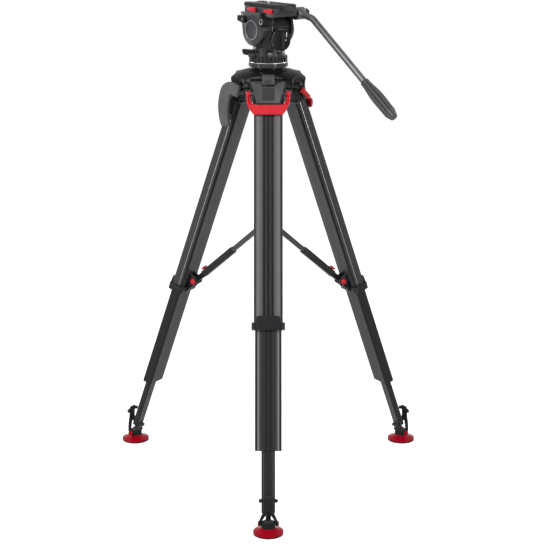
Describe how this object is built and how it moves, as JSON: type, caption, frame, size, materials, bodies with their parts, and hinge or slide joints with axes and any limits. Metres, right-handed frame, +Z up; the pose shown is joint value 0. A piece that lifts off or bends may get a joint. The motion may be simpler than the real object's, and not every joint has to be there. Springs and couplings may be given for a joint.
{
  "type": "video tripod",
  "caption": "Video tripod with a fluid head: telescoping legs with a mid-level spreader, bowl mount, tilting camera table with sliding plate, and a pan bar.",
  "frame": {"origin": "middle of the foot box on the floor", "axes": "+Z up, the front leg points to -Y, +X to the viewer's right"},
  "size_m": [0.7362, 0.6464, 1.1115],
  "materials": {
    "crown_metal": "satin black",
    "steel": "brushed",
    "leg_head_plastic": "satin",
    "carbon": "satin woven carbon",
    "red_plastic": "satin red",
    "black_plastic": "satin",
    "arm_metal": "satin black",
    "foot_rubber": "matt",
    "strap_rubber": "matt",
    "grip_rubber": "matt",
    "head_metal": "satin dark grey",
    "vial_glass": "clear"
  },
  "bodies": {
    "crown": {"spider": "crown_metal", "hinge_pins": "steel"},
    "leg_front": {"leg_head_front": "leg_head_plastic", "upper_tube_front": "carbon", "leg_collar_front": "leg_head_plastic"},
    "brake_front": {"brake_lever_front": "red_plastic"},
    "catch_front": {"angle_catch_front": "black_plastic"},
    "middle_front": {"middle_tube_front": "carbon"},
    "lower_front": {"lower_tube_front": "carbon"},
    "foot_front": {"foot_pad_front": "foot_rubber"},
    "strap_front": {"foot_strap_front": "strap_rubber"},
    "release_front": {"release_knob_front": "red_plastic"},
    "arm_front": {"spreader_arm_front": "arm_metal", "spreader_sleeve_front": "black_plastic"},
    "button_front": {"length_button_front": "red_plastic"},
    "leg_right": {"leg_head_right": "leg_head_plastic", "upper_tube_right": "carbon", "leg_collar_right": "leg_head_plastic"},
    "brake_right": {"brake_lever_right": "red_plastic"},
    "catch_right": {"angle_catch_right": "black_plastic"},
    "middle_right": {"middle_tube_right": "carbon"},
    "lower_right": {"lower_tube_right": "carbon"},
    "foot_right": {"foot_pad_right": "foot_rubber"},
    "strap_right": {"foot_strap_right": "strap_rubber"},
    "release_right": {"release_knob_right": "red_plastic"},
    "arm_right": {"spreader_arm_right": "arm_metal", "spreader_sleeve_right": "black_plastic"},
    "button_right": {"length_button_right": "red_plastic"},
    "leg_left": {"leg_head_left": "leg_head_plastic", "upper_tube_left": "carbon", "leg_collar_left": "leg_head_plastic", "carry_handle": "grip_rubber"},
    "brake_left": {"brake_lever_left": "red_plastic"},
    "catch_left": {"angle_catch_left": "black_plastic"},
    "middle_left": {"middle_tube_left": "carbon"},
    "lower_left": {"lower_tube_left": "carbon"},
    "foot_left": {"foot_pad_left": "foot_rubber"},
    "strap_left": {"foot_strap_left": "strap_rubber"},
    "release_left": {"release_knob_left": "red_plastic"},
    "arm_left": {"spreader_arm_left": "arm_metal", "spreader_sleeve_left": "black_plastic"},
    "button_left": {"length_button_left": "red_plastic"},
    "hub": {"spreader_hub": "crown_metal"},
    "ball": {"ball_base": "crown_metal"},
    "clamp": {"clamp_knob": "black_plastic"},
    "drag": {"drag_ring": "black_plastic"},
    "pan": {"pan_body": "head_metal", "bubble_level": "vial_glass"},
    "tilt": {"tilt_table": "head_metal"},
    "plate": {"camera_plate": "head_metal"},
    "screw": {"plate_screw": "steel"},
    "lock": {"plate_lock": "red_plastic"},
    "plate_release_lever": {"plate_release": "red_plastic"},
    "tilt_brake_lever": {"tilt_brake": "black_plastic"},
    "pan_brake_lever": {"pan_brake": "black_plastic"},
    "dial": {"balance_dial": "black_plastic"},
    "drag_knob": {"tilt_drag_knob": "black_plastic"},
    "bar": {"pan_bar": "arm_metal", "grip": "grip_rubber"},
    "bar_knob": {"bar_clamp": "black_plastic"}
  },
  "joints": [
    {"name": "fold_front", "type": "hinge", "parent": "crown", "child": "leg_front", "pos_m": [0, 0.04275, 0.93], "axis": [1, 0, 0], "range_deg": [0, 20]},
    {"name": "brake_front_turn", "type": "hinge", "parent": "leg_front", "child": "brake_front", "pos_m": [0, 0.03309, 0.91223], "axis": [-1, 0, 0], "range_deg": [0, 20]},
    {"name": "catch_front_turn", "type": "hinge", "parent": "crown", "child": "catch_front", "pos_m": [0, 0.03675, 0.951], "axis": [-1, 0, 0], "range_deg": [0, 25], "stiffness_Nm_per_rad": 0.15},
    {"name": "extend_middle_front", "type": "slide", "parent": "leg_front", "child": "middle_front", "axis": [0, -0.342, -0.9397], "range_m": [-0.235, 0.138]},
    {"name": "extend_lower_front", "type": "slide", "parent": "middle_front", "child": "lower_front", "axis": [0, -0.342, -0.9397], "range_m": [-0.12, 0.26]},
    {"name": "foot_front_tilt", "type": "hinge", "parent": "lower_front", "child": "foot_front", "pos_m": [0, -0.29025, 0.023], "axis": [1, 0, 0], "range_deg": [-10, 20]},
    {"name": "strap_front_turn", "type": "hinge", "parent": "foot_front", "child": "strap_front", "pos_m": [0, -0.29025, 0.023], "axis": [1, 0, 0], "range_deg": [0, 70]},
    {"name": "release_front_pull", "type": "slide", "parent": "leg_front", "child": "release_front", "axis": [1, 0, 0], "range_m": [0, 0.005], "stiffness_N_per_m": 600},
    {"name": "fold_right", "type": "hinge", "parent": "crown", "child": "leg_right", "pos_m": [0.04677, 0.12375, 0.93], "axis": [-0.5, 0.866, 0], "range_deg": [0, 20]},
    {"name": "brake_right_turn", "type": "hinge", "parent": "leg_right", "child": "brake_right", "pos_m": [0.05513, 0.12858, 0.91223], "axis": [0.5, -0.866, 0], "range_deg": [0, 20]},
    {"name": "catch_right_turn", "type": "hinge", "parent": "crown", "child": "catch_right", "pos_m": [0.05196, 0.12675, 0.951], "axis": [0.5, -0.866, 0], "range_deg": [0, 25], "stiffness_Nm_per_rad": 0.15},
    {"name": "extend_middle_right", "type": "slide", "parent": "leg_right", "child": "middle_right", "axis": [0.2962, 0.171, -0.9397], "range_m": [-0.235, 0.138]},
    {"name": "extend_lower_right", "type": "slide", "parent": "middle_right", "child": "lower_right", "axis": [0.2962, 0.171, -0.9397], "range_m": [-0.12, 0.26]},
    {"name": "foot_right_tilt", "type": "hinge", "parent": "lower_right", "child": "foot_right", "pos_m": [0.33515, 0.29025, 0.023], "axis": [-0.5, 0.866, 0], "range_deg": [-10, 20]},
    {"name": "strap_right_turn", "type": "hinge", "parent": "foot_right", "child": "strap_right", "pos_m": [0.33515, 0.29025, 0.023], "axis": [-0.5, 0.866, 0], "range_deg": [0, 70]},
    {"name": "release_right_pull", "type": "slide", "parent": "leg_right", "child": "release_right", "axis": [0.5, -0.866, 0], "range_m": [0, 0.005], "stiffness_N_per_m": 600},
    {"name": "fold_left", "type": "hinge", "parent": "crown", "child": "leg_left", "pos_m": [-0.04677, 0.12375, 0.93], "axis": [-0.5, -0.866, 0], "range_deg": [0, 20]},
    {"name": "brake_left_turn", "type": "hinge", "parent": "leg_left", "child": "brake_left", "pos_m": [-0.05513, 0.12858, 0.91223], "axis": [0.5, 0.866, 0], "range_deg": [0, 20]},
    {"name": "catch_left_turn", "type": "hinge", "parent": "crown", "child": "catch_left", "pos_m": [-0.05196, 0.12675, 0.951], "axis": [0.5, 0.866, 0], "range_deg": [0, 25], "stiffness_Nm_per_rad": 0.15},
    {"name": "extend_middle_left", "type": "slide", "parent": "leg_left", "child": "middle_left", "axis": [-0.2962, 0.171, -0.9397], "range_m": [-0.235, 0.138]},
    {"name": "extend_lower_left", "type": "slide", "parent": "middle_left", "child": "lower_left", "axis": [-0.2962, 0.171, -0.9397], "range_m": [-0.12, 0.26]},
    {"name": "foot_left_tilt", "type": "hinge", "parent": "lower_left", "child": "foot_left", "pos_m": [-0.33515, 0.29025, 0.023], "axis": [-0.5, -0.866, 0], "range_deg": [-10, 20]},
    {"name": "strap_left_turn", "type": "hinge", "parent": "foot_left", "child": "strap_left", "pos_m": [-0.33515, 0.29025, 0.023], "axis": [-0.5, -0.866, 0], "range_deg": [0, 70]},
    {"name": "release_left_pull", "type": "slide", "parent": "leg_left", "child": "release_left", "axis": [-0.5, -0.866, 0], "range_m": [0, 0.005], "stiffness_N_per_m": 600},
    {"name": "hub_rise", "type": "slide", "parent": "crown", "child": "hub", "axis": [0, 0, 1], "range_m": [0, 0.06179]},
    {"name": "arm_front_turn", "type": "hinge", "parent": "hub", "child": "arm_front", "pos_m": [0, 0.07475, 0.591], "axis": [1, 0, 0], "range_deg": [0, 49.36]},
    {"name": "button_front_press", "type": "slide", "parent": "arm_front", "child": "button_front", "axis": [0, 0.648, -0.7616], "range_m": [0, 0.0018], "stiffness_N_per_m": 900},
    {"name": "arm_right_turn", "type": "hinge", "parent": "hub", "child": "arm_right", "pos_m": [0.01905, 0.10775, 0.591], "axis": [-0.5, 0.866, 0], "range_deg": [0, 49.36]},
    {"name": "button_right_press", "type": "slide", "parent": "arm_right", "child": "button_right", "axis": [-0.5612, -0.324, -0.7616], "range_m": [0, 0.0018], "stiffness_N_per_m": 900},
    {"name": "arm_left_turn", "type": "hinge", "parent": "hub", "child": "arm_left", "pos_m": [-0.01905, 0.10775, 0.591], "axis": [-0.5, -0.866, 0], "range_deg": [0, 49.36]},
    {"name": "button_left_press", "type": "slide", "parent": "arm_left", "child": "button_left", "axis": [0.5612, -0.324, -0.7616], "range_m": [0, 0.0018], "stiffness_N_per_m": 900},
    {"name": "level_tilt", "type": "hinge", "parent": "crown", "child": "ball", "pos_m": [0, 0.09675, 0.967], "axis": [1, 0, 0], "range_deg": [-6, 6]},
    {"name": "clamp_turn", "type": "hinge", "parent": "ball", "child": "clamp", "pos_m": [0, 0.09675, 0.967], "axis": [0, 0, 1], "range_deg": [-180, 180]},
    {"name": "drag_turn", "type": "hinge", "parent": "ball", "child": "drag", "pos_m": [0, 0.09675, 0.967], "axis": [0, 0, 1], "range_deg": [0, 270]},
    {"name": "pan", "type": "hinge", "parent": "ball", "child": "pan", "pos_m": [0, 0.09675, 0.967], "axis": [0, 0, 1], "continuous": true},
    {"name": "tilt", "type": "hinge", "parent": "pan", "child": "tilt", "pos_m": [0, 0.09675, 1.05], "axis": [0.788, 0.6157, 0], "range_deg": [-60, 40]},
    {"name": "plate_slide", "type": "slide", "parent": "tilt", "child": "plate", "axis": [-0.6157, 0.788, 0], "range_m": [-0.025, 0.025]},
    {"name": "screw_turn", "type": "hinge", "parent": "plate", "child": "screw", "pos_m": [0, 0.09675, 1.107], "axis": [0, 0, 1], "range_deg": [-180, 180]},
    {"name": "plate_lock_turn", "type": "hinge", "parent": "tilt", "child": "lock", "pos_m": [-0.03017, 0.07445, 1.0946], "axis": [0, 0, 1], "range_deg": [0, 60]},
    {"name": "plate_release_turn", "type": "hinge", "parent": "tilt", "child": "plate_release_lever", "pos_m": [0.00554, 0.02874, 1.0946], "axis": [0, 0, 1], "range_deg": [0, 35], "stiffness_Nm_per_rad": 0.1},
    {"name": "tilt_brake_turn", "type": "hinge", "parent": "tilt", "child": "tilt_brake_lever", "pos_m": [-0.05418, 0.08488, 1.073], "axis": [-0.788, -0.6157, 0], "range_deg": [0, 45]},
    {"name": "pan_brake_turn", "type": "hinge", "parent": "pan", "child": "pan_brake_lever", "pos_m": [-0.03704, 0.06781, 1.003], "axis": [0, 0, 1], "range_deg": [0, 50]},
    {"name": "balance_turn", "type": "hinge", "parent": "pan", "child": "dial", "pos_m": [0.02734, 0.06988, 1.0275], "axis": [0.6157, -0.788, 0], "range_deg": [-135, 135]},
    {"name": "tilt_drag_turn", "type": "hinge", "parent": "tilt", "child": "drag_knob", "pos_m": [-0.01662, 0.03681, 1.071], "axis": [0.788, 0.6157, 0], "range_deg": [-150, 150]},
    {"name": "bar_angle", "type": "hinge", "parent": "tilt", "child": "bar", "pos_m": [0.06949, 0.08252, 1.086], "axis": [0.788, 0.6157, 0], "range_deg": [-60, 10]},
    {"name": "bar_knob_turn", "type": "hinge", "parent": "tilt", "child": "bar_knob", "pos_m": [0.06949, 0.08252, 1.086], "axis": [0.788, 0.6157, 0], "range_deg": [-180, 180]}
  ],
  "couplings": [
    {"joint": "fold_right", "follows": "fold_front", "ratio": 1},
    {"joint": "fold_left", "follows": "fold_front", "ratio": 1},
    {"joint": "hub_rise", "follows": "fold_front", "m_per_rad": 0.177},
    {"joint": "arm_front_turn", "follows": "fold_front", "ratio": 2.4681},
    {"joint": "arm_right_turn", "follows": "fold_front", "ratio": 2.4681},
    {"joint": "arm_left_turn", "follows": "fold_front", "ratio": 2.4681}
  ]
}
